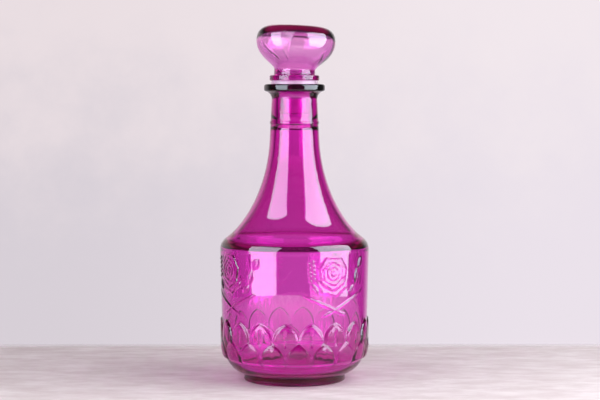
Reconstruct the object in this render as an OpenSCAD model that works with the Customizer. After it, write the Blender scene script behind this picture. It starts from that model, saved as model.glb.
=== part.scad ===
// Pressed glass decanter: the bottle, its hollow glass stopper and the plastic sleeve that seals it.
// Millimetres, +Z up. The origin is the middle of the ring that the bottle stands on.

/* [Foot] */
// Outside diameter of the foot
foot_d = 75.2; // [70:0.2:80]
// Height of the foot, up to the underside of the body
foot_h = 5.4; // [4:0.1:8]
// Rounding of the foot's lower edge
foot_round = 1.6; // [0.8:0.1:2.5]
// Diameter of the hollow under the foot
punt_d = 62; // [50:1:66]
// Depth of the hollow under the foot
punt_depth = 2.4; // [1:0.1:3.5]

/* [Body] */
// Outside diameter of the body at the shoulder
body_d = 110; // [106:0.5:118]
// Outside diameter of the wall where the bottom curve begins
body_low_d = 106.8; // [104:0.2:110]
// Height of the bottom curve, from the foot to the wall
bottom_curve_h = 21.6; // [18:0.2:26]
// Height of the straight wall
wall_h = 70; // [64:1:90]
// Thickness of the glass in the wall
body_wall = 3.2; // [2.4:0.1:4]
// Height of the inside floor above the standing ring
floor_z = 10; // [8:0.2:13]

/* [Shoulder and flare] */
// How far in the shoulder's rounding reaches
shoulder_in = 5.4; // [4:0.2:8]
// Height of the shoulder's rounding
shoulder_h = 9.2; // [8:0.2:12]
// Slope of the glass where the rounding meets the flare, in degrees
shoulder_slope = 37; // [30:1:45]
// Height of the flare, from the shoulder to the neck
flare_h = 71.3; // [60:0.5:90]

/* [Neck and lip] */
// Outside diameter of the neck where the flare ends
neck_low_d = 36.6; // [35:0.2:40]
// Outside diameter of the neck under the lip
neck_top_d = 33.5; // [32:0.1:36]
// Height of the neck, from the flare to the underside of the lip
neck_h = 30; // [26:1:40]
// Inside diameter of the neck, where the sleeve seals
bore_d = 24.8; // [23:0.1:26]
// Depth of the parallel bore
bore_depth = 28; // [26:1:34]
// Thickness of the glass where the flare ends
neck_wall = 4.3; // [3.5:0.1:5]
// Height of the bead above the bottom of the neck
bead_at = 12.7; // [8:0.1:18]
// How far the bead stands proud
bead_proud = 0.55; // [0.3:0.05:0.9]
// Width of the bead
bead_w = 3.2; // [2:0.1:4]
// Outside diameter of the lip
lip_d = 45; // [42:0.5:48]
// Height of the curve between the neck and the lip
lip_curve_h = 5.7; // [4:0.1:8]
// Thickness of the lip
lip_h = 5.4; // [4.4:0.1:7]
// Rounding of the lip's edges
lip_round = 1.2; // [0.6:0.1:1.8]

/* [Petals] */
// Petals in each of the two rows
petal_count = 18; // [12:1:24]
// Turn of the lower row about the bottle's axis, in degrees
petal_turn = 3; // [0:1:20]
// How far the petals stand proud of the wall
petal_proud = 1.6; // [1:0.1:2]
// Height of the ledge under the lower petals
petal_ledge_z = 17.4; // [15:0.2:20]
// Height where the lower petals are widest
lower_petal_z = 22; // [20:0.5:25]
// Height of the lower petals' tips
lower_tip_z = 33.4; // [31:0.2:36]
// Outward lean of the lower petals, in degrees
lower_petal_lean = 4; // [0:0.5:8]
// Height where the upper petals are widest
upper_petal_z = 36; // [34:0.5:38]
// Height of the upper petals' tips
upper_tip_z = 47.6; // [45:0.2:52]

/* [Roses] */
// Roses around the body
rose_count = 4; // [3:1:5]
// Turn of the first rose about the bottle's axis, in degrees
rose_turn = 32.5; // [0:0.5:90]
// Height of the roses' middle
rose_z = 77; // [74:0.5:82]
// Distance from a rose's middle to the middle of its outer petals
rose_ring_r = 7.6; // [6:0.1:9]
// How far the middle of a rose stands proud
rose_proud = 1.4; // [1:0.1:2]
// Distance from a rose's middle to the middle of its leaves
leaf_reach = 19; // [17:0.5:22]
// Length of a leaf
leaf_len = 13; // [9:0.5:15]
// Width of a leaf
leaf_w = 6; // [4:0.2:8]
// Height where the stems cross
cross_z = 56; // [54:0.5:60]
// Slope of the stems, in degrees
stem_slope = 22; // [15:1:30]
// Thickness of a stem
stem_d = 1.8; // [1.2:0.1:2.4]

/* [Sleeve] */
// Thickness of the sleeve's flange, between the lip and the stopper's collar
flange_t = 2.6; // [1.5:0.1:3.5]
// Outside diameter of the flange where it lies on the lip
flange_d = 35.2; // [33:0.2:38]
// Length of the sleeve inside the neck
sleeve_len = 21; // [16:0.5:24]
// Thickness of the sleeve's tube
sleeve_wall = 0.9; // [0.7:0.1:1.2]
// How far the sealing fins stand off the tube
fin_proud = 0.9; // [0.6:0.1:1.2]
// Number of sealing fins
fin_count = 4; // [3:1:6]
// Thickness of a fin at its root
fin_t = 1.2; // [0.8:0.1:1.6]
// Clearance on radius between a fin and the bore of the neck
fin_clearance = 0.06; // [0.04:0.01:0.1]

/* [Stopper] */
// Clearance on radius between the shank and the sleeve
shank_clearance = 0.05; // [0.02:0.01:0.08]
// How far the shank reaches below the sleeve
shank_extra = 1.5; // [0.5:0.1:3]
// Diameter of the hole up the shank into the hollow head
shank_bore_d = 12.4; // [10:0.1:14]
// Outside diameter of the collar
collar_d = 36.6; // [34:0.2:39]
// Thickness of the collar
collar_h = 3.9; // [3:0.1:5]
// Diameter of the short stem between the collar and the head
stem_neck_d = 30.2; // [28:0.2:32]
// Height of the short stem
stem_neck_h = 4.1; // [3:0.1:6]
// Greatest diameter of the head
head_d = 58.2; // [54:0.2:64]
// Height from the short stem to the widest part of the head
head_low_h = 21; // [18:0.5:24]
// Height from the widest part of the head to its top
head_top_h = 11.6; // [10:0.1:14]
// Thickness of the glass in the sides of the head
head_wall = 3.2; // [2.5:0.1:4]
// Thickness of the glass at the top of the head
head_top_wall = 5.2; // [3.5:0.1:6.5]
// Lean of the head on its stem, in degrees
head_lean = 2.5; // [0:0.5:4]

/* [Hidden] */
$fn = 96;
glass_purple = [0.72, 0.16, 0.57, 0.6];
plastic_white = [0.93, 0.84, 0.93, 0.8];
curve_steps = 8;   // straight pieces in a short curve
flare_steps = 16;  // straight pieces in the flare
cut = 1;           // how far a cutting shape runs past what it cuts

// Radii that several modules share
foot_r = foot_d / 2;
body_r = body_d / 2;
low_r = body_low_d / 2;
neck_low_r = neck_low_d / 2;
neck_top_r = neck_top_d / 2;
bore_r = bore_d / 2;
lip_r = lip_d / 2;
head_r = head_d / 2;
stem_neck_r = stem_neck_d / 2;

// Heights, each stacked on the one below
low_z = foot_h + bottom_curve_h;
shoulder_z = low_z + wall_h;
flare_z = shoulder_z + shoulder_h;
neck_z = flare_z + flare_h;
lip_curve_z = neck_z + neck_h;
lip_z = lip_curve_z + lip_curve_h;
mouth_z = lip_z + lip_h;
collar_z = mouth_z + flange_t;
stem_neck_z = collar_z + collar_h;

// Fits between the sleeve, the neck and the shank
fin_r = bore_r - fin_clearance;
sleeve_r = fin_r - fin_proud;
sleeve_bore_r = sleeve_r - sleeve_wall;
shank_r = sleeve_bore_r - shank_clearance;
shank_len = flange_t + sleeve_len + shank_extra;

// A point on a cubic curve, its direction there, and the whole curve as points
function bezier(p, t) = pow(1 - t, 3) * p[0] + 3 * t * pow(1 - t, 2) * p[1]
    + 3 * t * t * (1 - t) * p[2] + pow(t, 3) * p[3];
function heading(p, t) = 3 * pow(1 - t, 2) * (p[1] - p[0]) + 6 * t * (1 - t) * (p[2] - p[1])
    + 3 * t * t * (p[3] - p[2]);
function curve(p, n) = [for (i = [0:n]) bezier(p, i / n)];
function arc(c, r, a0, a1, n) = [for (i = [0:n]) let (a = a0 + (a1 - a0) * i / n)
    c + r * [cos(a), sin(a)]];
function reversed(list) = [for (i = [len(list) - 1:-1:0]) list[i]];

// A curve's inner side, w0 thick at its start and w1 at its end
function inner_side(p, w0, w1, n) = [for (i = [0:n]) let (
    t = i / n,
    d = heading(p, t),
    w = w0 + (w1 - w0) * t
) bezier(p, t) - w * [d[1], -d[0]] / norm(d)];

// The four curves of the bottle's outside, as [radius, height]
slope_in = [-cos(shoulder_slope), sin(shoulder_slope)];
neck_lean = [neck_top_r - neck_low_r, neck_h] / norm([neck_top_r - neck_low_r, neck_h]);
flare_start = [body_r - shoulder_in, flare_z];
flare_end = [neck_low_r, neck_z];
bottom_curve = [
    [foot_r + 1, foot_h],
    [foot_r + 0.54 * (low_r - foot_r), foot_h + 0.08 * bottom_curve_h],
    [low_r - 0.8, foot_h + 0.47 * bottom_curve_h],
    [low_r, low_z]
];
shoulder_curve = [
    [body_r, shoulder_z],
    [body_r, shoulder_z + 0.43 * shoulder_h],
    flare_start - 0.83 * shoulder_in * slope_in,
    flare_start
];
flare_curve = [
    flare_start,
    flare_start + 0.24 * flare_h * slope_in,
    flare_end - 0.48 * flare_h * neck_lean,
    flare_end
];
lip_curve = [
    [neck_top_r, lip_curve_z],
    [neck_top_r, lip_curve_z + 0.55 * lip_curve_h],
    [lip_r - 0.62 * (lip_r - neck_top_r), lip_z - 0.12 * lip_curve_h],
    [lip_r - lip_round, lip_z]
];

// The outside radius of the straight wall and of the neck at a height
function wall_r(z) = low_r + (body_r - low_r) * (z - low_z) / wall_h;
function neck_r(z) = neck_low_r + (neck_top_r - neck_low_r) * (z - neck_z) / neck_h;

// The bead is a low hump on the neck's line
bead_z = neck_z + bead_at;
bead = [for (i = [0:curve_steps]) let (a = 180 * i / curve_steps, z = bead_z - bead_w / 2 * cos(a))
    [neck_r(z) + bead_proud * sin(a), z]];

bottle_outline = concat(
    [[0, punt_depth], [punt_d / 2 - punt_depth, punt_depth], [punt_d / 2, 0]],
    arc([foot_r - foot_round, foot_round], foot_round, -90, 0, curve_steps),
    [[foot_r, foot_h]],
    curve(bottom_curve, flare_steps),
    curve(shoulder_curve, curve_steps),
    [for (i = [1:flare_steps]) bezier(flare_curve, i / flare_steps)],
    bead,
    curve(lip_curve, curve_steps),
    arc([lip_r - lip_round, lip_z + lip_round], lip_round, -60, 0, curve_steps / 2),
    arc([lip_r - lip_round, mouth_z - lip_round], lip_round, 0, 90, curve_steps),
    [[0, mouth_z]]
);

// The space inside, from the floor up to the mouth
floor_curve = [
    [0.6 * low_r, floor_z],
    [0.84 * low_r, floor_z + 0.02 * bottom_curve_h],
    [low_r - body_wall, floor_z + 0.3 * bottom_curve_h],
    [low_r - body_wall, low_z + body_wall]
];
cavity_outline = concat(
    [[0, floor_z]],
    curve(floor_curve, curve_steps),
    inner_side(shoulder_curve, body_wall, body_wall, curve_steps),
    [for (p = inner_side(flare_curve, body_wall, neck_wall, flare_steps)) if (p[1] > flare_z) p],
    [[bore_r, mouth_z - bore_depth], [bore_r, mouth_z - lip_round]],
    [[bore_r + lip_round, mouth_z], [bore_r + lip_round, mouth_z + cut], [0, mouth_z + cut]]
);

// Only the part of a raised shape outside this depth is kept, so that it never reaches the space inside
module outside(r, w, h) {
    intersection() {
        children();
        translate([r - 0.6 * body_wall, -w, -h]) cube([4 * petal_proud, 2 * w, 2 * h]);
    }
}

// A domed petal with a keel: two spheres that cross in a pointed arch, w wide each side and h high
module petal(r, w, h, proud) {
    apart = (h * h / w - w) / 2;
    deep = (h * h + proud * proud) / (2 * proud);
    ball = norm([deep, apart]);
    outside(r, w + 1, h + 1)
        translate([r + proud - deep, 0, 0])
            intersection() {
                translate([0, apart, 0]) sphere(ball);
                translate([0, -apart, 0]) sphere(ball);
            }
}

petal_w = PI * body_low_d / petal_count / 2;  // half of the room that each petal has

module upper_petals() {
    for (i = [0:petal_count - 1])
        rotate(petal_turn + (i + 0.5) * 360 / petal_count)
            translate([0, 0, upper_petal_z])
                petal(wall_r(upper_petal_z), petal_w, upper_tip_z - upper_petal_z, petal_proud - 0.2);
}

// The lower petals are cut off level by the ledge under them
module lower_petals() {
    intersection() {
        union()
            for (i = [0:petal_count - 1])
                rotate(petal_turn + i * 360 / petal_count)
                    translate([low_r, 0, lower_petal_z])
                        rotate([0, lower_petal_lean, 0])
                            translate([-low_r, 0, 0])
                                petal(low_r, petal_w, lower_tip_z - lower_petal_z, petal_proud);
        translate([0, 0, petal_ledge_z]) cylinder(r = body_r + 4 * petal_proud, h = low_z);
    }
}

// Where a shape of the rose lies: at a distance and a bearing from the rose's middle, tilted on the wall
module on_rose(distance, bearing, tilt = 0) {
    rotate(distance * cos(bearing) / body_r * 180 / PI)
        translate([0, 0, rose_z + distance * sin(bearing)])
            rotate([tilt, 0, 0])
                children();
}

// A round petal of the rose: the cap of a sphere
module rose_petal(distance, bearing, w, proud) {
    r = wall_r(rose_z + distance * sin(bearing));
    ball = (w * w + proud * proud) / (2 * proud);
    on_rose(distance, bearing)
        outside(r, w + 1, w + 1)
            translate([r + proud - ball, 0, 0])
                sphere(ball);
}

// A leaf: a long narrow petal laid over at an angle
module leaf(distance, bearing, tilt) {
    on_rose(distance, bearing, tilt)
        petal(wall_r(rose_z + distance * sin(bearing)), leaf_w / 2, leaf_len / 2, 0.6 * rose_proud);
}

// A stem is an arc of a ring that is tipped about the crossing, so that its ends run into the wall
module stem(slope) {
    ring_r = wall_r(cross_z) - 0.1 * stem_d;
    rotate([slope, 0, 0])
        rotate(slope > 0 ? -10 : -26)
            rotate_extrude(angle = 36)
                translate([ring_r, 0]) circle(d = stem_d, $fn = 24);
}

module rose() {
    for (i = [0:4]) rose_petal(rose_ring_r, 18 + 72 * i, 5.5, 0.55 * rose_proud);
    for (i = [0:3]) rose_petal(0.45 * rose_ring_r, 45 + 90 * i, 4, 0.85 * rose_proud);
    rose_petal(0, 0, 2.6, rose_proud);
    leaf(leaf_reach, 12, -40);
    leaf(leaf_reach, 168, 40);
    leaf(leaf_reach, -20, -70);
    leaf(leaf_reach, 200, 70);
    translate([0, 0, cross_z]) {
        stem(stem_slope);
        stem(-stem_slope);
    }
}

module bottle() {
    color(glass_purple)
        difference() {
            union() {
                rotate_extrude() polygon(bottle_outline);
                upper_petals();
                lower_petals();
                for (i = [0:rose_count - 1]) rotate(rose_turn - 90 + i * 360 / rose_count) rose();
            }
            rotate_extrude() polygon(cavity_outline);
        }
}

// The sleeve: a tube with a flange on the lip and fins that wipe the bore
fin_pitch = sleeve_len / (fin_count + 0.5);
sleeve_taper = 0.35;  // how far the flange's rim slopes in for each millimetre up
fins = [for (i = [fin_count - 1:-1:0]) let (z = mouth_z - (i + 1) * fin_pitch)
    each [[sleeve_r, z - fin_t / 2], [fin_r, z - fin_t / 6], [fin_r, z + fin_t / 6], [sleeve_r, z + fin_t / 2]]];
sleeve_outline = concat(
    [[sleeve_bore_r, mouth_z - sleeve_len], [sleeve_r - 0.4 * sleeve_wall, mouth_z - sleeve_len]],
    fins,
    [[sleeve_r, mouth_z], [flange_d / 2, mouth_z]],
    [[flange_d / 2 - sleeve_taper * flange_t, collar_z], [sleeve_bore_r, collar_z]]
);

module stopper_sleeve() {
    color(plastic_white) rotate_extrude() polygon(sleeve_outline);
}

// The stopper's shank and collar stand true, and the short stem and the head lean on them
shank_round = 1.4;   // rounding of the shank's lower end
collar_round = 0.7;  // rounding of the collar's edges
lower_outline = concat(
    [[0, collar_z - shank_len]],
    arc([shank_r - shank_round, collar_z - shank_len + shank_round], shank_round, -90, 0, curve_steps / 2),
    [[shank_r, collar_z]],
    arc([collar_d / 2 - collar_round, collar_z + collar_round], collar_round, -90, 0, curve_steps / 2),
    arc([collar_d / 2 - collar_round, stem_neck_z - collar_round], collar_round, 0, 90, curve_steps / 2),
    [[0, stem_neck_z]]
);

// The short stem and the head, from the top of the collar, before they are leant
root = 0.4 * collar_h;  // how deep they start inside the collar
wide_z = stem_neck_h + head_low_h;
top_z = wide_z + head_top_h;
head_low = [
    [stem_neck_r, stem_neck_h],
    [stem_neck_r + 0.08 * (head_r - stem_neck_r), stem_neck_h + 0.2 * head_low_h],
    [head_r - 0.2, stem_neck_h + 0.4 * head_low_h],
    [head_r, wide_z]
];
head_top = [
    [head_r, wide_z],
    [head_r, wide_z + 0.48 * head_top_h],
    [0.91 * head_r, wide_z + 0.97 * head_top_h],
    [0.48 * head_r, wide_z + 0.98 * head_top_h]
];
head_outline = concat(
    [[0, -root], [stem_neck_r, -root]],
    curve(head_low, flare_steps),
    [for (i = [1:flare_steps]) bezier(head_top, i / flare_steps)],
    [[0, top_z]]
);

// The hollow in the head, a little wider than the hole up the shank where they meet
throat_r = shank_bore_d / 2 + 0.8;
hollow_r = head_r - head_wall;
hollow_top_z = top_z - head_top_wall;
hollow_low = [
    [throat_r, stem_neck_h],
    [throat_r + 0.5, stem_neck_h + 0.3 * head_low_h],
    [hollow_r, stem_neck_h + 0.42 * head_low_h],
    [hollow_r, wide_z]
];
hollow_top = [
    [hollow_r, wide_z],
    [hollow_r, hollow_top_z - 0.2 * head_top_h],
    [0.8 * head_r, hollow_top_z],
    [0.5 * head_r, hollow_top_z]
];
hollow_outline = concat(
    [[0, -root], [throat_r, -root]],
    curve(hollow_low, curve_steps),
    [for (i = [1:curve_steps]) bezier(hollow_top, i / curve_steps)],
    [[0, hollow_top_z]]
);

module leant() {
    translate([0, 0, stem_neck_z]) rotate([0, head_lean, 0]) children();
}

module stopper() {
    color(glass_purple)
        difference() {
            union() {
                rotate_extrude() polygon(lower_outline);
                leant() rotate_extrude() polygon(head_outline);
            }
            leant() rotate_extrude() polygon(hollow_outline);
            translate([0, 0, collar_z - shank_len - cut])
                cylinder(d = shank_bore_d, h = shank_len + collar_h + cut);
        }
}

bottle();
stopper_sleeve();
stopper();
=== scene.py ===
# %% [markdown]
# # A pressed glass decanter with a hollow stopper
# The real object is three things: a bottle pressed and blown in one piece, a hollow glass
# stopper, and the soft plastic sleeve that seals the stopper in the neck. Glass shows its
# inside as well as its outside, so each glass piece is one closed skin that runs down the
# outside, over the rim and back along the inside. That is how a ray tracer knows how much
# glass the light has crossed.

# %% Load the frame that fixes every size
import math
import bmesh
import bpy
from mathutils import Matrix, Vector, noise


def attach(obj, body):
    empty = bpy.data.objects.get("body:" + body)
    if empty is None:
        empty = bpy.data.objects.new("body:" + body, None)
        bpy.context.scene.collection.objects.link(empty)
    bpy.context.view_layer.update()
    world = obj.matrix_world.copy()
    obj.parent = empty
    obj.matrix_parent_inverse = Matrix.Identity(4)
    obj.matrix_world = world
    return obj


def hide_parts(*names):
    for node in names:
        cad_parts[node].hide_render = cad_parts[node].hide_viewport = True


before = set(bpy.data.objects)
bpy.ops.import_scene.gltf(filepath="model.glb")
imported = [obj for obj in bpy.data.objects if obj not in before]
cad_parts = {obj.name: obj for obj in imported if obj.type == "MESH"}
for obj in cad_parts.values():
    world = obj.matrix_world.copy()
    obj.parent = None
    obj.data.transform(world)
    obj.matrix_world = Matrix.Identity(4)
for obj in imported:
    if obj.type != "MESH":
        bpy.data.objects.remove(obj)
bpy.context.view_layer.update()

MM = 0.001
print("frame nodes:", sorted(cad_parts))

# %% [markdown]
# ## Curves shared by the profiles
# A turned shape is drawn as half of its section, as pairs of radius and height in
# millimetres. Its soft bends are cubic curves and quarter circles, which need only a few
# numbers each, so a designer can still move them.

# %% Curve helpers
def cubic(p0, p1, p2, p3, steps, first=0):
    """Points along a cubic curve; first=1 leaves out the starting point."""
    out = []
    for i in range(first, steps + 1):
        t = i / steps
        a, b, c, d = (1 - t) ** 3, 3 * t * (1 - t) ** 2, 3 * t * t * (1 - t), t ** 3
        out.append((a * p0[0] + b * p1[0] + c * p2[0] + d * p3[0],
                    a * p0[1] + b * p1[1] + c * p2[1] + d * p3[1]))
    return out


def quarter(centre, radius, start, end, steps, first=0):
    """Points round part of a circle, its angles in degrees."""
    out = []
    for i in range(first, steps + 1):
        a = math.radians(start + (end - start) * i / steps)
        out.append((centre[0] + radius * math.cos(a), centre[1] + radius * math.sin(a)))
    return out


def line(p0, p1, steps, first=0):
    """Points along a straight stretch."""
    return [(p0[0] + (p1[0] - p0[0]) * i / steps, p0[1] + (p1[1] - p0[1]) * i / steps)
            for i in range(first, steps + 1)]


def inside_of(points, near, far):
    """The same curve moved inward by the glass's thickness, from near at its start to far."""
    out = []
    for i, (r, z) in enumerate(points):
        a, b = points[max(i - 1, 0)], points[min(i + 1, len(points) - 1)]
        dr, dz = b[0] - a[0], b[1] - a[1]
        length = math.hypot(dr, dz)
        w = near + (far - near) * i / (len(points) - 1)
        out.append((r - w * dz / length, z + w * dr / length))
    return out


def smooth(x):
    """Goes softly from 0 to 1 as x does."""
    x = min(max(x, 0.0), 1.0)
    return x * x * (3 - 2 * x)


# %% [markdown]
# ## The bottle's sizes
# The outside sizes are those of the frame: the foot, the wall, the rounded shoulder, the
# long flare and the neck with its bead and lip. Heights stack from the ring it stands on.
# The thickness of the glass is what makes its colour look right.

# %% Bottle sizes in millimetres
FOOT_R, FOOT_H, FOOT_ROUND = 37.6, 5.4, 1.0
PUNT_R, PUNT_DEPTH = 31.0, 2.4
LOW_R, BODY_R, BODY_WALL = 53.4, 55.0, 2.7
LOW_Z, SHOULDER_Z, FLARE_Z = 27.0, 97.0, 106.2
FLARE_R = BODY_R - 5.4
NECK_Z, NECK_TOP_Z, LIP_Z, MOUTH_Z = 177.5, 207.5, 213.2, 218.6
NECK_LOW_R, NECK_TOP_R, NECK_WALL, BORE_R = 18.3, 16.75, 3.7, 12.4
LIP_R, LIP_ROUND, MOUTH_ROUND = 22.5, 1.7, 4.0
BEAD_Z, BEAD_W, BEAD_PROUD = 190.4, 2.4, 0.5
BEAD_ROOM_LOW, BEAD_ROOM_HIGH = 184, 198
FLOOR_Z = 10.0
SHOULDER_SLOPE = math.radians(37)
RELIEF_Z, PETALS_END_Z = 15.5, 49


def wall_r(z):
    """Outside radius of the wall, which widens a little from the petals to the shoulder."""
    return LOW_R + (BODY_R - LOW_R) * (z - LOW_Z) / (SHOULDER_Z - LOW_Z)


def neck_r(z):
    """Outside radius of the neck, which narrows a little towards the lip."""
    return NECK_LOW_R + (NECK_TOP_R - NECK_LOW_R) * (z - NECK_Z) / (NECK_TOP_Z - NECK_Z)


print("glass bottle:", MOUTH_Z, "mm tall,", 2 * BODY_R, "mm across")

# %% [markdown]
# ## The bottle's section
# The outside goes from the middle of the foot to the rim of the mouth, and the inside from
# there back to the middle of the floor. Rows are close together where the petals and roses
# will be raised, and far apart where the glass is plain, to keep the mesh light. In each
# cubic curve, the first and last points are on the glass, and the two between pull it.

# %% Bottle section, outside
slope_in = (-math.cos(SHOULDER_SLOPE), math.sin(SHOULDER_SLOPE))
flare_start = (FLARE_R, FLARE_Z)
flare_h = NECK_Z - FLARE_Z
neck_lean = (NECK_TOP_R - NECK_LOW_R) / (NECK_TOP_Z - NECK_Z)


def up_slope(reach):
    """The point that far up the shoulder's slope from the start of the flare."""
    return (flare_start[0] + reach * slope_in[0], flare_start[1] + reach * slope_in[1])


underside = cubic((FOOT_R + 1, FOOT_H), (FOOT_R + 0.54 * (LOW_R - FOOT_R), FOOT_H + 1.73),
                  (LOW_R - 0.8, FOOT_H + 10.15), (LOW_R, LOW_Z), 34)
petals_end = (wall_r(PETALS_END_Z), PETALS_END_Z)
wall = line((LOW_R, LOW_Z), petals_end, 36, 1) + line(petals_end, (BODY_R, SHOULDER_Z), 78, 1)
shoulder = cubic((BODY_R, SHOULDER_Z), (BODY_R, SHOULDER_Z + 3.96), up_slope(-4.48),
                 flare_start, 10, 1)
flare = cubic(flare_start, up_slope(0.24 * flare_h),
              (NECK_LOW_R - 0.48 * flare_h * neck_lean, NECK_Z - 0.48 * flare_h),
              (NECK_LOW_R, NECK_Z), 18, 1)
below_bead = [(neck_r(BEAD_ROOM_LOW), BEAD_ROOM_LOW)]
above_bead = [(neck_r(BEAD_ROOM_HIGH), BEAD_ROOM_HIGH)]
bead = []
for degrees in range(0, 181, 30):
    a = math.radians(degrees)
    z = BEAD_Z - BEAD_W / 2 * math.cos(a)
    bead.append((neck_r(z) + BEAD_PROUD * math.sin(a), z))
lip_curve = cubic((NECK_TOP_R, NECK_TOP_Z), (NECK_TOP_R, NECK_TOP_Z + 3.14),
                  (LIP_R - 0.62 * (LIP_R - NECK_TOP_R), LIP_Z - 0.68),
                  (LIP_R - LIP_ROUND, LIP_Z), 8)
foot = (line((0, PUNT_DEPTH), (PUNT_R - PUNT_DEPTH, PUNT_DEPTH), 4)
        + line((PUNT_R - PUNT_DEPTH, PUNT_DEPTH), (PUNT_R, 0), 2, 1)
        + line((PUNT_R, 0), (FOOT_R - FOOT_ROUND, 0), 2, 1)
        + quarter((FOOT_R - FOOT_ROUND, FOOT_ROUND), FOOT_ROUND, -90, 0, 6, 1)
        + [(FOOT_R, FOOT_H - 0.4), (FOOT_R + 0.25, FOOT_H)]
        + [p for p in underside if p[1] < RELIEF_Z])
band = [p for p in underside if p[1] >= RELIEF_Z] + wall
upper = (shoulder + flare + below_bead + bead + above_bead + lip_curve
         + quarter((LIP_R - LIP_ROUND, LIP_Z + LIP_ROUND), LIP_ROUND, -60, 0, 4)
         + quarter((LIP_R - LIP_ROUND, MOUTH_Z - LIP_ROUND), LIP_ROUND, 0, 90, 6))


# %% Bottle section, inside
def bend(start, start_fall, end, end_fall, steps):
    """A curve between two points whose slopes are given in degrees below level."""
    reach = 0.36 * math.dist(start, end)
    a, b = math.radians(start_fall), math.radians(end_fall)
    return cubic(start, (start[0] + reach * math.cos(a), start[1] - reach * math.sin(a)),
                 (end[0] - reach * math.cos(b), end[1] + reach * math.sin(b)), end, steps, 1)


FLARE_INSIDE_R = 45
CEILING, CORNER, WALL_TOP_Z = (48.6, 101.7), (51.8, 99.2), 96
BORE_END_Z, BORE_PULL_Z, NECK_PULL = BEAD_ROOM_HIGH, 192, 5
flare_inside = inside_of(flare + below_bead, BODY_WALL + 0.2, NECK_WALL + 0.6)[::-1]
inner_flare = [p for p in flare_inside if p[0] < FLARE_INSIDE_R]
before, last = inner_flare[-2:]
last_fall = math.degrees(math.atan2(before[1] - last[1], last[0] - before[0]))
inner_corner = (bend(last, last_fall, CEILING, 30, 5) + bend(CEILING, 30, CORNER, 38, 5)
                + bend(CORNER, 38, (BODY_R - BODY_WALL - 0.1, WALL_TOP_Z), 90, 6))
inner_bottom = inside_of(underside, FLOOR_Z - FOOT_H, BODY_WALL)[::-1]
(top_r, top_z), (next_r, next_z) = inner_flare[:2]
inner_neck = (top_r - NECK_PULL * (next_r - top_r) / (top_z - next_z), top_z + NECK_PULL)
inside = ([(LIP_R - LIP_ROUND, MOUTH_Z)]
          + quarter((BORE_R + MOUTH_ROUND, MOUTH_Z - MOUTH_ROUND), MOUTH_ROUND, 90, 180, 7)
          + line((BORE_R, MOUTH_Z - MOUTH_ROUND), (BORE_R, BORE_END_Z), 3, 1)
          + cubic((BORE_R, BORE_END_Z), (BORE_R, BORE_PULL_Z), inner_neck, inner_flare[0],
                  12, 1)[:-1]
          + inner_flare + inner_corner
          + line(inner_corner[-1], inner_bottom[0], 5, 1) + inner_bottom[3::3]
          + line(inner_bottom[-1], (0, FLOOR_Z), 5, 1))
print("bottle section:", len(foot + band + upper), "points outside,", len(inside), "inside")

# %% [markdown]
# ## The relief
# The mould leaves two rows of pointed petals and four roses on crossed stems. They could be
# separate shapes stuck on, but glass shows every buried face, so the skin itself is raised.
# Each figure below gives the height of the relief, in millimetres, at a place on the wall:
# u runs round the bottle and v runs up, both measured from the figure's own middle.

# %% Petals
PETALS, PETAL_TURN, PETAL_PROUD = 18, 3.0, 1.6
PETAL_PITCH, PETAL_HALF = 360 / PETALS, math.pi * LOW_R / PETALS
LOWER_Z, LOWER_TIP, UPPER_Z, UPPER_TIP = 20.6, 12.8, 34.6, 13.0
PETAL_EDGE, PETAL_CROWN = 1.7, 8
CREASE_DEEP, CREASE_HALF = 0.45, 0.7


def petal(u, v, tip, proud):
    """A petal in a pointed arch: a soft step at its edge and a nearly flat face."""
    apart = (tip * tip / PETAL_HALF - PETAL_HALF) / 2
    inward = math.hypot(tip, apart) - math.hypot(abs(u) + apart, v)
    if inward <= 0:
        return -9.0
    return proud * (0.72 * smooth(inward / PETAL_EDGE) + 0.28 * smooth(inward / PETAL_CROWN))


def petals(turn, z):
    """Height of the petals at a turn round the bottle, in degrees, and a height."""
    mm_per_degree = math.pi * LOW_R / 180
    low_u = ((turn - PETAL_TURN + PETAL_PITCH / 2) % PETAL_PITCH - PETAL_PITCH / 2) * mm_per_degree
    up_u = ((turn - PETAL_TURN) % PETAL_PITCH - PETAL_PITCH / 2) * mm_per_degree
    upper_row = petal(up_u, z - UPPER_Z, UPPER_TIP, PETAL_PROUD - 0.2)
    lower_row = petal(low_u, z - LOWER_Z, LOWER_TIP, PETAL_PROUD)
    crease = (CREASE_DEEP * math.exp(-(up_u / CREASE_HALF) ** 2)
              * smooth((z - 30) / 3) * smooth((44 - z) / 5))
    height = max(0.0, upper_row - crease, lower_row + 0.3 if lower_row > -0.3 else 0.0)
    return height * smooth((z - 16.6) / 1.4)


# %% [markdown]
# ## The roses
# A pressed rose is a stack of low rounded layers, each with a scalloped edge that curls up a
# little. Two stems cross under it, leaves stand on both sides and buds on the left. The
# flower is a plain mould-maker's rose, the kind that is on countless pieces of glass.

# %% Roses, stems and leaves
ROSES, ROSE_TURN = 4, 32.5
BLOOM_U, BLOOM_Z = -2.0, 84.0
LAYERS = ((16.6, 9, 0.3), (12.4, 7, 0.3), (9.0, 6, 0.1), (5.8, 5, 0.1), (2.9, 3, 0.1))
RIM_PROUD, RIM_IN, RIM_HALF = 0.3, 1.1, 0.75
STEM_LOW, STEM_HIGH = (8.8, 52.8), (24, 67.7)
LEAVES = (((-16.5, 72.5), 9, 4.4, 35, 0.8), ((21.0, 80.5), 12, 4.2, -12, 0.9),
          ((26.0, 90.0), 10, 5.0, -30, 0.9), ((16.5, 71.5), 8, 3.6, -50, 0.7))
BUDS, BUD_U, BUD_Z, BUD_PITCH, BUD_R, BUD_PROUD = 5, -19.6, 78.5, 3.1, 1.3, 0.9


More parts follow.
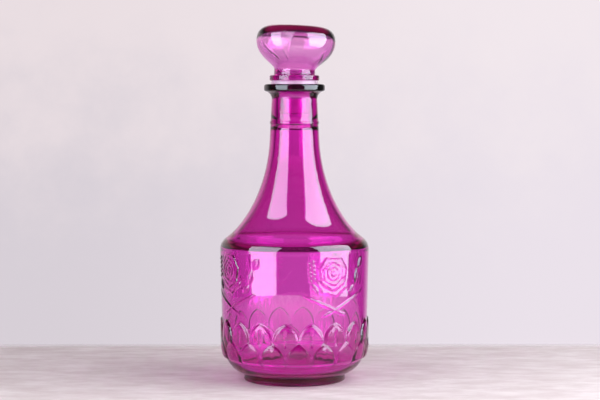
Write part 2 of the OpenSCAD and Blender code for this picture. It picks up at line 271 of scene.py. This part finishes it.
def bloom(u, v):
    """The flower: scalloped layers with raised rims, the widest one only as a fan below."""
    rho, phi = math.hypot(u, 0.92 * v), math.atan2(v, u)
    height = 0.0
    for k, (radius, lobes, step) in enumerate(LAYERS):
        edge = radius * (1 - 0.1 * abs(math.sin(lobes * (phi + 0.7 * k) / 2)) ** 0.7)
        rim = RIM_PROUD * math.exp(-((rho - edge + RIM_IN) / RIM_HALF) ** 2)
        shown = smooth(-(v + 5) / 4) if k == 0 else 1
        height += (step * smooth((edge - rho) / 1.2) + rim) * shown
    return height + 0.004 * u * u * smooth((11 - rho) / 2)


def ridge(u, v, a, b, width, proud):
    """A raised line from a to b that thins towards both ends."""
    dx, dy = b[0] - a[0], b[1] - a[1]
    t = min(max(((u - a[0]) * dx + (v - a[1]) * dy) / (dx * dx + dy * dy), 0.0), 1.0)
    gap = math.hypot(u - a[0] - t * dx, v - a[1] - t * dy)
    return proud * smooth(1 - gap / width) * (0.5 + 0.5 * smooth(4 * min(t, 1 - t)))


def leaf(u, v, middle, length, width, tilt, proud):
    """A pointed leaf with a sunk midrib, tilted in degrees from upright."""
    a = math.radians(tilt)
    du, dv = u - middle[0], v - middle[1]
    across = abs(du * math.cos(a) + dv * math.sin(a))
    along = abs(dv * math.cos(a) - du * math.sin(a)) * 2 / length
    if along >= 1:
        return 0.0
    half = width / 2 * (1 - along ** 1.6)
    body = smooth((half - across) / 0.9 + 0.3) if across < half + 0.3 else 0.0
    return proud * body * (1 - 0.45 * math.exp(-(across / 0.45) ** 2))


def rose(u, v):
    """Everything in one rose figure; v is the height above the table."""
    height = bloom(u - BLOOM_U, v - BLOOM_Z)
    for side in (-1, 1):
        height = max(height, ridge(u, v, (-side * STEM_LOW[0], STEM_LOW[1]),
                                   (side * STEM_HIGH[0], STEM_HIGH[1]), 1.0, 0.8))
    for middle, length, width, tilt, proud in LEAVES:
        height = max(height, leaf(u, v, middle, length, width, tilt, proud))
    for i in range(BUDS):
        for du in (0, 2.6):
            gap = math.hypot(u - BUD_U - du + 0.3 * i, v - BUD_Z - BUD_PITCH * i - 0.5 * du)
            height = max(height, BUD_PROUD * smooth(1 - gap / BUD_R))
    return height


def relief(turn, z):
    """Height of all the relief at a turn, in degrees, and a height, in millimetres."""
    height = petals(turn, z) if z < PETALS_END_Z - 0.5 else 0.0
    if PETALS_END_Z + 1.5 < z < SHOULDER_Z - 0.2:
        pitch = 360 / ROSES
        u = ((turn - ROSE_TURN + pitch / 2) % pitch - pitch / 2) * math.pi * wall_r(z) / 180
        height = max(height, rose(u, z) * smooth((SHOULDER_Z - 0.5 - z) / 1.5))
    return height


print("relief at a petal's middle:", round(relief(PETAL_TURN, 24), 2), "mm")
print("relief at a rose's heart:", round(relief(ROSE_TURN - 2.08, BLOOM_Z), 2), "mm")

# %% [markdown]
# ## Spinning the skin
# The spin operator turns a section into a surface, as a lathe or a mould does. A whole turn
# in one go is slow on a fine mesh, so one slice is spun first, and then spun again as
# copies that are welded. Inside and outside are spun into the same mesh and meet at the
# mouth. The band with the relief is finer than the rest: its points are moved outward to
# raise the relief, and it is then bridged to the plain glass below and above it.

# %% Make a turned skin
SLICES = 18
WELD = 0.000004


def spin_section(bm, points, steps):
    """Spins a section about the upright axis, by slices, and returns the new points."""
    old = len(bm.verts)
    slice_angle = 2 * math.pi / SLICES
    verts = [bm.verts.new((r * MM, 0, z * MM)) for r, z in points]
    edges = [bm.edges.new(pair) for pair in zip(verts, verts[1:])]
    about = {"cent": (0, 0, 0), "axis": (0, 0, 1), "dvec": (0, 0, 0), "use_merge": False}
    bmesh.ops.spin(bm, geom=verts + edges, angle=slice_angle, steps=steps // SLICES,
                   use_duplicate=False, **about)
    bm.verts.ensure_lookup_table()
    verts = bm.verts[old:]
    edges = list({e for v in verts for e in v.link_edges})
    faces = list({f for v in verts for f in v.link_faces})
    bmesh.ops.spin(bm, geom=verts + edges + faces, angle=slice_angle * (SLICES - 1),
                   steps=SLICES - 1, use_duplicate=True, **about)
    bm.verts.ensure_lookup_table()
    return bm.verts[old:]


def finish_piece(bm, name):
    """Welds, closes and smooths a mesh and makes an object of it."""
    bmesh.ops.remove_doubles(bm, verts=bm.verts, dist=WELD)
    loose = [e for e in bm.edges if not e.link_faces]
    bmesh.ops.delete(bm, geom=loose, context="EDGES")
    bmesh.ops.recalc_face_normals(bm, faces=bm.faces)
    open_edges = sum(1 for e in bm.edges if len(e.link_faces) != 2)
    for face in bm.faces:
        face.smooth = True
    mesh = bpy.data.meshes.new(name)
    bm.to_mesh(mesh)
    bm.free()
    piece = bpy.data.objects.new(name, mesh)
    bpy.context.scene.collection.objects.link(piece)
    triangles = sum(len(p.vertices) - 2 for p in mesh.polygons)
    print(name + ":", triangles, "triangles,", open_edges, "open edges")
    return piece


# %% Moving points of a skin
def push_out(v, height, least_r=1.0):
    """Moves a point away from the axis by a height, all in millimetres."""
    scale = 1 + height * MM / max(math.hypot(v.co.x, v.co.y), least_r * MM)
    v.co.x *= scale
    v.co.y *= scale


def turn_of(v):
    """A point's turn round the axis in degrees, 0 in front and growing to the right."""
    return math.degrees(math.atan2(v.co.x, -v.co.y))


def unevenness(v, across, up):
    """A soft wave from -1 to 1; across and up are about its number of bumps in a metre."""
    return noise.noise(Vector((v.co.x * across, v.co.y * across, v.co.z * up)))


def ring_edges(bm, z):
    """Edges of the open rim at a height in millimetres."""
    return [e for e in bm.edges if len(e.link_faces) == 1
            and all(abs(v.co.z / MM - z) < 0.01 for v in e.verts)]


# %% Bottle mesh
PLAIN_STEPS, RELIEF_STEPS = 180, 540
WAVE_LOW_Z, WAVE_HIGH_Z, WAVE_PROUD = 14, 190, 0.22
bm = bmesh.new()
spin_section(bm, foot, PLAIN_STEPS)
spin_section(bm, upper, PLAIN_STEPS)
for v in spin_section(bm, inside, PLAIN_STEPS):
    z = v.co.z / MM
    if WAVE_LOW_Z < z < WAVE_HIGH_Z:
        fade = smooth((z - WAVE_LOW_Z) / 6) * smooth((WAVE_HIGH_Z - z) / 8)
        push_out(v, WAVE_PROUD * unevenness(v, 28, 16) * fade)
for v in spin_section(bm, band, RELIEF_STEPS):
    push_out(v, relief(turn_of(v), v.co.z / MM))
bmesh.ops.remove_doubles(bm, verts=bm.verts, dist=WELD)
for below, above in ((foot[-1], band[0]), (band[-1], upper[0])):
    bmesh.ops.bridge_loops(bm, edges=ring_edges(bm, below[1]) + ring_edges(bm, above[1]))
bottle_glass = finish_piece(bm, "decanter_glass")

# %% [markdown]
# ## The stopper
# The stopper is blown like a small flask: a straight shank, a flat collar, a short stem and
# a round hollow head, which leans a little on its stem. It is spun the same way, and then
# all that is above the collar is tipped about the collar's top.

# %% Stopper sizes and section
COLLAR_Z, STEM_LOW_Z, STEM_TOP_Z = 221.2, 225.1, 229.2
SHANK_R, SHANK_END, SHANK_ROUND, SHANK_HOLE_R = 10.49, 196.1, 0.3, 8.6
HOLE_NARROW_Z, HOLE_END_Z = 206, 201
COLLAR_R, COLLAR_ROUND, STEM_R, HEAD_R = 18.3, 0.7, 15.1, 29.1
WIDE_Z, HEAD_TOP_Z, HEAD_WALL, HEAD_TOP_WALL = 250.2, 261.8, 1.5, 3.6
CROWN_R, CROWN_Z = 0.48 * HEAD_R, WIDE_Z + 11.37
HEAD_LEAN = math.radians(2.5)
hollow_r, hollow_top = HEAD_R - HEAD_WALL, HEAD_TOP_Z - HEAD_TOP_WALL
head_low = cubic((STEM_R, STEM_TOP_Z), (STEM_R + 1.12, STEM_TOP_Z + 4.2),
                 (HEAD_R - 0.2, STEM_TOP_Z + 8.4), (HEAD_R, WIDE_Z), 32)
head_high = cubic((HEAD_R, WIDE_Z), (HEAD_R, WIDE_Z + 5.57), (0.91 * HEAD_R, WIDE_Z + 11.25),
                  (CROWN_R, CROWN_Z), 24, 1)
hollow_low = inside_of(head_low, 2.6, HEAD_WALL)[::-1]
rounding = (SHANK_R - SHANK_ROUND, SHANK_END + SHANK_ROUND)
stopper_out = (quarter(rounding, SHANK_ROUND, -90, 0, 4)
               + line((SHANK_R, SHANK_END + SHANK_ROUND), (SHANK_R, COLLAR_Z), 6, 1)
               + quarter((COLLAR_R - COLLAR_ROUND, COLLAR_Z + COLLAR_ROUND), COLLAR_ROUND,
                         -90, 0, 5)
               + quarter((COLLAR_R - COLLAR_ROUND, STEM_LOW_Z - COLLAR_ROUND), COLLAR_ROUND,
                         0, 90, 5)
               + [(STEM_R + 0.5, STEM_LOW_Z), (STEM_R + 0.15, STEM_LOW_Z + 0.2),
                  (STEM_R, STEM_LOW_Z + 0.6)]
               + head_low + head_high + line((CROWN_R, CROWN_Z), (0, HEAD_TOP_Z), 5, 1))
stopper_in = (line((0, hollow_top), (0.5 * HEAD_R, hollow_top), 4)
              + cubic((0.5 * HEAD_R, hollow_top), (0.8 * HEAD_R, hollow_top),
                      (hollow_r, hollow_top - 2.32), (hollow_r, WIDE_Z), 14, 1)
              + hollow_low[2::2]
              + cubic(hollow_low[-1], (hollow_low[-1][0], STEM_LOW_Z), (SHANK_HOLE_R, STEM_LOW_Z),
                      (SHANK_HOLE_R, COLLAR_Z), 6, 1)
              + line((SHANK_HOLE_R, COLLAR_Z), (SHANK_HOLE_R, HOLE_NARROW_Z), 3, 1)
              + cubic((SHANK_HOLE_R, HOLE_NARROW_Z), (SHANK_HOLE_R, HOLE_NARROW_Z - 4),
                      (SHANK_R - 0.6, HOLE_END_Z), (SHANK_R - 0.6, rounding[1]), 6, 1)
              + [(rounding[0], SHANK_END)])


def tip_head(v):
    """Leans a point of the head about the top of the collar."""
    share = smooth((v.co.z / MM - STEM_LOW_Z) / 1.5)
    pivot = Vector((0, 0, STEM_LOW_Z * MM))
    turned = Matrix.Rotation(HEAD_LEAN, 3, "Y") @ (v.co - pivot) + pivot
    v.co = v.co.lerp(turned, share)


print("stopper section:", len(stopper_out), "points outside,", len(stopper_in), "inside")

# %% [markdown]
# ## The mould's marks on the head
# The mould has left a fan of fine creases in front and a few slanting strokes. They are so
# shallow that a texture could draw them, but glass bends light at a real slope, so they are
# raised and sunk in the skin like the petals.

# %% Mould marks
CREASES, CREASE_TURN, CREASE_W = 6, -17, 1.3
STROKES = ((-38, -56, 239, 248), (-30, -44, 236, 244), (-11, -20, 234, 245), (58, 46, 234, 243))
MARK_PROUD, STROKE_W = 0.6, 2.0


def marks(turn, z):
    """Height of the marks on the head at a turn, in degrees, and a height."""
    height = 0.0
    for i in range(CREASES):
        centre = CREASE_TURN + 1.2 * i + (-5 + 2.4 * i) * smooth((z - 243) / 14)
        height = max(height, MARK_PROUD * smooth(1 - abs(turn - centre) / CREASE_W))
    height *= smooth((z - 241) / 4) * smooth((260 - z) / 3)
    for low, high, z_low, z_high in STROKES:
        t = (z - z_low) / (z_high - z_low)
        if 0 < t < 1:
            gap = abs(turn - low - (high - low) * t)
            height -= MARK_PROUD * smooth(1 - gap / STROKE_W) * smooth(4 * min(t, 1 - t))
    return height


# %% Stopper mesh
STOPPER_STEPS = 576
HOLLOW_WAVE, LEAST_R = 0.3, 4
bm = bmesh.new()
for v in spin_section(bm, stopper_out, STOPPER_STEPS):
    z = v.co.z / MM
    if z > STEM_TOP_Z:
        push_out(v, marks(turn_of(v), z))
for v in spin_section(bm, stopper_in, STOPPER_STEPS):
    fade = smooth((v.co.z / MM - STEM_TOP_Z) / 8)
    push_out(v, HOLLOW_WAVE * unevenness(v, 60, 30) * fade, LEAST_R)
for v in bm.verts:
    tip_head(v)
stopper_glass = finish_piece(bm, "stopper_glass")

# %% [markdown]
# ## Glass
# Coloured glass takes its colour from its thickness. So each glass has a smooth skin with
# only a faint stain, and a Volume Absorption shader inside takes away green most, blue less
# and red least. Glass as thick as the lip looks nearly black on the real bottle, more than
# the colour of the thin walls allows, because the rounded lip sends the view to dark
# surroundings; that shade is painted into the lip's skin as a near-black colour. The skin is
# also a little darker on the flare. The stopper is blown thinner, and its glass has about
# half the strength.

# %% Shader helpers
def fill(tree, socket, value):
    """Gives a socket a plain value, or links it to what another node puts out."""
    if isinstance(value, bpy.types.NodeSocket):
        tree.links.new(value, socket)
    else:
        socket.default_value = value


def shader(nodes, kind, **values):
    """Adds a node and sets its own sockets."""
    node = nodes.new(kind)
    for key, value in values.items():
        node.inputs[key.replace("_", " ")].default_value = value
    return node


def calc(tree, operation, *values, kind="ShaderNodeMath"):
    """Adds a node that works on its values, and returns the result."""
    node = tree.nodes.new(kind)
    node.operation = operation
    for socket, value in zip(node.inputs, values):
        fill(tree, socket, value)
    return node.outputs["Value" if kind == "ShaderNodeMath" or operation == "LENGTH" else "Vector"]


def split(tree, vector):
    """The sockets of a vector's three parts."""
    node = tree.nodes.new("ShaderNodeSeparateXYZ")
    tree.links.new(vector, node.inputs["Vector"])
    return node.outputs


def ramp(tree, source, low, high, from_colour, to_colour):
    """A colour that goes from one to the other as source goes from low to high."""
    step = shader(tree.nodes, "ShaderNodeMapRange", From_Min=low, From_Max=high)
    step.interpolation_type = "SMOOTHSTEP"
    tree.links.new(source, step.inputs["Value"])
    mix = tree.nodes.new("ShaderNodeMix")
    mix.data_type = "RGBA"
    tree.links.new(step.outputs["Result"], mix.inputs["Factor"])
    # A Mix node has sockets for each type of value; these are the ones for colours.
    for socket, colour in zip(mix.inputs[6:8], (from_colour, to_colour)):
        fill(tree, socket, colour)
    return mix.outputs[2]


def blend(tree, factor, first, second):
    """Shows second where factor is 1, and first elsewhere."""
    node = tree.nodes.new("ShaderNodeMixShader")
    for socket, value in zip(node.inputs, (factor, first, second)):
        tree.links.new(value, socket)
    return node.outputs[0]


# %% Glass material
GLASS_IOR = 1.51
STOPPER_DENSITY, BOTTLE_DENSITY = 270, 500
TINT = (0.915, 0.16, 0.835, 1)
STAIN, FLARE_DARKER = (0.99, 0.87, 0.945, 1), (0.91, 0.81, 0.83, 1)
# The lip's near black is painted shade, not a colour of the glass.
LIP_PAINTED_SHADE = (0.004, 0.002, 0.003, 1)
PREVIEW = (0.72, 0.16, 0.57, 0.6)


def make_glass(name, density):
    """A smooth stained skin over glass that is coloured all through."""
    glass = bpy.data.materials.new(name)
    glass.use_nodes = True
    nodes, links = glass.node_tree.nodes, glass.node_tree.links
    nodes.clear()
    out = nodes.new("ShaderNodeOutputMaterial")
    skin = shader(nodes, "ShaderNodeBsdfPrincipled", Base_Color=STAIN, Roughness=0.0,
                  IOR=GLASS_IOR, Transmission_Weight=1.0)
    inner = shader(nodes, "ShaderNodeVolumeAbsorption", Color=TINT, Density=density)
    links.new(skin.outputs["BSDF"], out.inputs["Surface"])
    links.new(inner.outputs["Volume"], out.inputs["Volume"])
    glass.diffuse_color = PREVIEW
    return glass


stopper_mix = make_glass("stopper_glass", STOPPER_DENSITY)
bottle_mix = make_glass("bottle_glass", BOTTLE_DENSITY)
print("glass strength:", BOTTLE_DENSITY, "in the bottle,", STOPPER_DENSITY, "in the stopper")

# %% Painted shade on the lip and a darker flare, by height and distance from the axis in metres
tree = bottle_mix.node_tree
place = tree.nodes.new("ShaderNodeTexCoord").outputs["Object"]
height = split(tree, place)["Z"]
flat = calc(tree, "MULTIPLY", place, (1, 1, 0), kind="ShaderNodeVectorMath")
from_axis = calc(tree, "LENGTH", flat, kind="ShaderNodeVectorMath")
# Painted shade: beyond this distance from the axis the lip's skin turns near black.
rim_painted_shade = ramp(tree, from_axis, 0.0185, 0.0195, STAIN, LIP_PAINTED_SHADE)
# The skin is a little darker on the flare, and this fades back to the plain stain up the neck.
flare_darker = ramp(tree, height, 0.097, 0.104, STAIN, FLARE_DARKER)
flare_darker_fading = ramp(tree, height, 0.150, 0.185, flare_darker, STAIN)
tint_with_lip_shade = ramp(tree, height, 0.2124, 0.2132, flare_darker_fading, rim_painted_shade)
tree.links.new(tint_with_lip_shade, tree.nodes["Principled BSDF"].inputs["Base Color"])
bottle_glass.data.materials.append(bottle_mix)
stopper_glass.data.materials.append(stopper_mix)
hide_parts("bottle")
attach(bottle_glass, "bottle")
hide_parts("stopper")
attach(stopper_glass, "stopper")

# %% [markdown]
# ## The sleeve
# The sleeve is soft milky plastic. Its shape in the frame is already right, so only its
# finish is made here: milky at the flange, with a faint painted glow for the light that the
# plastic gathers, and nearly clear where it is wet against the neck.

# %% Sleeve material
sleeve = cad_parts["stopper_sleeve"]
milky = bpy.data.materials.new("milky_sleeve_plastic_painted_glow")
milky.use_nodes = True
tree = milky.node_tree
skin = tree.nodes["Principled BSDF"]
# The emission is a painted glow for light gathered in the milky plastic; the sleeve is no lamp.
MILKY_AND_PAINTED_GLOW = {"Base Color": (0.95, 0.80, 0.93, 1), "Roughness": 0.35, "IOR": 1.45,
         "Transmission Weight": 0.6, "Emission Color": (0.85, 0.55, 0.80, 1),
         "Emission Strength": 0.1}
for socket, value in MILKY_AND_PAINTED_GLOW.items():
    skin.inputs[socket].default_value = value
height = split(tree, tree.nodes.new("ShaderNodeTexCoord").outputs["Object"])["Z"]
clearness = ramp(tree, height, 0.207, 0.212, (0.9, 0.9, 0.9, 1), (0, 0, 0, 1))
clear = tree.nodes.new("ShaderNodeBsdfTransparent")
mixed = blend(tree, clearness, skin.outputs["BSDF"], clear.outputs["BSDF"])
tree.links.new(mixed, tree.nodes["Material Output"].inputs["Surface"])
for slot in sleeve.material_slots:
    slot.material = milky
print("sleeve slots:", len(sleeve.material_slots))

# %% [markdown]
# ## Table
# Clear glass is drawn by what stands around it. The table is a pale board that takes the
# bottle's shadow. It is a circle, so that it reaches equally far in front and at the sides,
# with its far side pushed in to the straight edge that shows behind the bottle.

# %% Table board
TABLE_R, TABLE_BACK = 0.47, 0.18
BOARD_DARK, BOARD_LIGHT = (0.70, 0.59, 0.60, 1), (0.91, 0.825, 0.84, 1)
bm = bmesh.new()
bmesh.ops.create_circle(bm, cap_ends=True, radius=TABLE_R, segments=96)
for v in bm.verts:
    v.co.y = min(v.co.y, TABLE_BACK)
table_mesh = bpy.data.meshes.new("table")
bm.to_mesh(table_mesh)
bm.free()
table = bpy.data.objects.new("table", table_mesh)
bpy.context.scene.collection.objects.link(table)
board = bpy.data.materials.new("pale_board")
board.use_nodes = True
tree = board.node_tree
nodes, links = tree.nodes, tree.links
skin = nodes["Principled BSDF"]
skin.inputs["Roughness"].default_value = 0.8
place = nodes.new("ShaderNodeTexCoord").outputs["Object"]
stretched = calc(tree, "MULTIPLY", place, (1.4, 3.2, 1), kind="ShaderNodeVectorMath")
mottle = shader(nodes, "ShaderNodeTexNoise", Scale=18.0, Detail=8.0, Roughness=0.68)
links.new(stretched, mottle.inputs["Vector"])
tone = ramp(tree, mottle.outputs["Fac"], 0.3, 0.75, BOARD_DARK, BOARD_LIGHT)
links.new(tone, skin.inputs["Base Color"])
print("table:", 2 * TABLE_R, "m wide")

# %% [markdown]
# ## Light under the bottle
# Light that has come through the glass lies on the table under the bottle, and the glass
# shows it from within. Tracing such light takes very long, so the board glows a little
# there instead, only for rays that pass through glass. The table's far edge fades, as an
# edge that is out of focus does.

# %% Glow under the bottle and the soft far edge
WHITE, BLACK = (1, 1, 1, 1), (0, 0, 0, 1)
from_axis = calc(tree, "LENGTH", place, kind="ShaderNodeVectorMath")
under = ramp(tree, from_axis, 0.05, 0.078, WHITE, BLACK)
through_glass = calc(tree, "MULTIPLY", under,
                     nodes.new("ShaderNodeLightPath").outputs["Is Transmission Ray"])
glow = shader(nodes, "ShaderNodeEmission", Color=(0.86, 0.74, 0.82, 1), Strength=0.8)
lit = blend(tree, through_glass, skin.outputs["BSDF"], glow.outputs["Emission"])
edge = ramp(tree, split(tree, place)["Y"], 0.152, TABLE_BACK, BLACK, WHITE)
clear = nodes.new("ShaderNodeBsdfTransparent")
shown = blend(tree, edge, lit, clear.outputs["BSDF"])
links.new(shown, nodes["Material Output"].inputs["Surface"])
table_mesh.materials.append(board)

# %% [markdown]
# ## Backdrop
# Behind the table is a wall of pale, slightly cloudy plaster. It is the world itself, so it
# reaches all round, and its colour depends on a ray's direction: X to the right, Y to the
# back, Z up. Each kind of ray gets tones of its own. The camera sees the wall. Through
# glass the wall shows straight behind, and darkness where the glass bends the view aside or
# up, which draws the bottle's outlines. Mirrored in glass the wall is dark in front, at the
# sides and overhead, so that only the lamps shine there. Matte surfaces get a plain grey,
# so that the lamps shape them.

# %% World
world = bpy.data.worlds.new("studio")
bpy.context.scene.world = world
world.use_nodes = True
tree = world.node_tree
nodes, links = tree.nodes, tree.links
nodes.clear()
out = nodes.new("ShaderNodeOutputWorld")
path = nodes.new("ShaderNodeLightPath")
direction = nodes.new("ShaderNodeTexCoord").outputs["Generated"]
x, y, z = split(tree, direction)
cloud = shader(nodes, "ShaderNodeTexNoise", Scale=26.0, Detail=5.0, Roughness=0.62)
links.new(direction, cloud.inputs["Vector"])
clouded_z = calc(tree, "MULTIPLY_ADD", cloud.outputs["Fac"], 0.16, z)
leftward = calc(tree, "MULTIPLY_ADD", x, -0.25, y)


def background(colour):
    """A background of a colour."""
    node = nodes.new("ShaderNodeBackground")
    fill(tree, node.inputs["Color"], colour)
    return node.outputs["Background"]


# %% Tones of the plaster and what each kind of ray sees
LOW_LEFT, LOW_RIGHT = (0.68, 0.625, 0.68, 1), (0.83, 0.76, 0.83, 1)
HIGH_LEFT, HIGH_RIGHT = (0.82, 0.73, 0.76, 1), (0.89, 0.81, 0.85, 1)
low_tone = ramp(tree, x, -0.17, 0.17, LOW_LEFT, LOW_RIGHT)
high_tone = ramp(tree, x, -0.17, 0.17, HIGH_LEFT, HIGH_RIGHT)
plaster = ramp(tree, clouded_z, -0.02, 0.14, low_tone, high_tone)
bent_up = ramp(tree, z, 0.20, 0.34, plaster, (0.06, 0.05, 0.06, 1))
through = ramp(tree, y, 0.45, 0.9, (0.09, 0.075, 0.09, 1), bent_up)
overhead = ramp(tree, z, 0.22, 0.5, plaster, (0.07, 0.06, 0.07, 1))
mirrored = ramp(tree, leftward, 0.5, 0.85, (0.09, 0.08, 0.09, 1), overhead)
shown = background((0.30, 0.28, 0.29, 1))
# A ray through glass counts as a glossy one too, so its tone is laid over the mirrored one.
for ray, tone in (("Glossy", mirrored), ("Transmission", through), ("Camera", plaster)):
    shown = blend(tree, path.outputs["Is " + ray + " Ray"], shown, background(tone))
links.new(shown, out.inputs["Surface"])
print("world nodes:", len(nodes))

# %% [markdown]
# ## Light
# Two large soft boxes stand in front, to the left and to the right, and lean over the
# bottle. Their long reflections run down the neck and the body. Each is a pair of lamps, so
# that the reflections can be brighter than the light on the table: one lamp lights matte
# surfaces, and the other, just in front of it and a little cooler, only shows in glass.

# %% Soft boxes
DAYLIGHT, NEUTRAL = (0.88, 1.0, 1.12), (1, 1, 1)
SHINE_AHEAD = 0.02


def soft_box(name, corners, radiance, in_glass, aim=(0, 0, 0.12)):
    """A lamp through four corners that faces its aim and shows in glass or on matte surfaces."""
    low_a, low_b, up_a, up_b = (Vector(c) for c in corners)
    middle = (low_a + low_b + up_a + up_b) / 4
    across = ((low_b - low_a) + (up_b - up_a)) / 2
    along = ((up_a - low_a) + (up_b - low_b)) / 2
    normal = across.cross(along).normalized()
    if normal.dot(Vector(aim) - middle) < 0:
        normal = -normal
    z_axis = -normal
    y_axis = (along - z_axis * along.dot(z_axis)).normalized()
    x_axis = y_axis.cross(z_axis)
    lamp = bpy.data.lights.new(name, "AREA")
    lamp.shape = "RECTANGLE"
    lamp.size, lamp.size_y = across.length, along.length
    lamp.energy = radiance * 4 * lamp.size * lamp.size_y
    lamp.color = DAYLIGHT if in_glass else NEUTRAL
    holder = bpy.data.objects.new(name, lamp)
    holder.matrix_world = Matrix((x_axis, y_axis, z_axis)).transposed().to_4x4()
    holder.location = middle + normal * (SHINE_AHEAD if in_glass else 0.0)
    holder.visible_camera = False
    holder.visible_diffuse = not in_glass
    holder.visible_glossy = holder.visible_transmission = in_glass
    bpy.context.scene.collection.objects.link(holder)
    print(name + ":", round(lamp.size, 2), "by", round(lamp.size_y, 2), "m")
    return lamp


def lengthen(corners, below, above):
    """The same box, longer at its low edge and its top edge by shares of its length."""
    low_a, low_b, up_a, up_b = (Vector(c) for c in corners)
    return (low_a + (low_a - up_a) * below, low_b + (low_b - up_b) * below,
            up_a + (up_a - low_a) * above, up_b + (up_b - low_b) * above)


# %% Place the boxes: corners, share added below and above, strength on matte and in glass
LEFT_BOX = ((-0.42, -0.79, -0.015), (-0.837, -0.321, -0.015),
            (-0.184, -0.403, 0.877), (-0.711, -0.059, 0.877))
RIGHT_BOX = ((0.482, -0.5745, -0.02), (0.745, 0.0, -0.02),
             (0.132, -0.21, 0.806), (0.619, 0.195, 0.806))
for side, corners, below, above, matte, shine in (("left", LEFT_BOX, 0.2, -0.06, 1.3, 5.8),
                                                  ("right", RIGHT_BOX, 0.05, -0.15, 1.9, 6.7)):
    soft_box(side + "_soft_box", corners, matte, False)
    soft_box(side + "_soft_box_shine", lengthen(corners, below, above), shine, True)

# %% Front panel for the table before the bottle
FRONT_PANEL = ((-0.6, -0.66, 0.20), (0.6, -0.66, 0.20), (-0.6, -0.28, 0.22), (0.6, -0.28, 0.22))
PANEL_SPREAD = 110
panel = soft_box("front_panel", FRONT_PANEL, 2.4, False, aim=(0, -0.47, 0))
panel.spread = math.radians(PANEL_SPREAD)

# %% [markdown]
# ## Camera
# A long lens stands about as high as the lip and looks slightly down, so the foot and the
# petals show as narrow ovals, and the lip nearly as a straight band.

# %% Camera
LENS, SENSOR_W = 101.6, 36
DISTANCE, CAMERA_Z, LOOK_DOWN, LOOK_RIGHT = 1.25, 0.21057, 3.547, 0.186
camera = bpy.data.cameras.new("camera")
camera.lens = LENS
camera.sensor_width = SENSOR_W
camera_holder = bpy.data.objects.new("camera", camera)
camera_holder.location = (0, -DISTANCE, CAMERA_Z)
camera_holder.rotation_euler = (math.radians(90 - LOOK_DOWN), 0, math.radians(-LOOK_RIGHT))
scene = bpy.context.scene
scene.collection.objects.link(camera_holder)
scene.camera = camera_holder
scene.view_settings.view_transform = "Standard"
print("camera:", DISTANCE, "m away and", CAMERA_Z, "m up")

# %% Enough bounces for light to cross both walls of the bottle and the stopper
scene.cycles.max_bounces = 24
scene.cycles.transmission_bounces = 24
scene.cycles.glossy_bounces = 12
scene.cycles.transparent_max_bounces = 16
print("bounces:", scene.cycles.max_bounces)
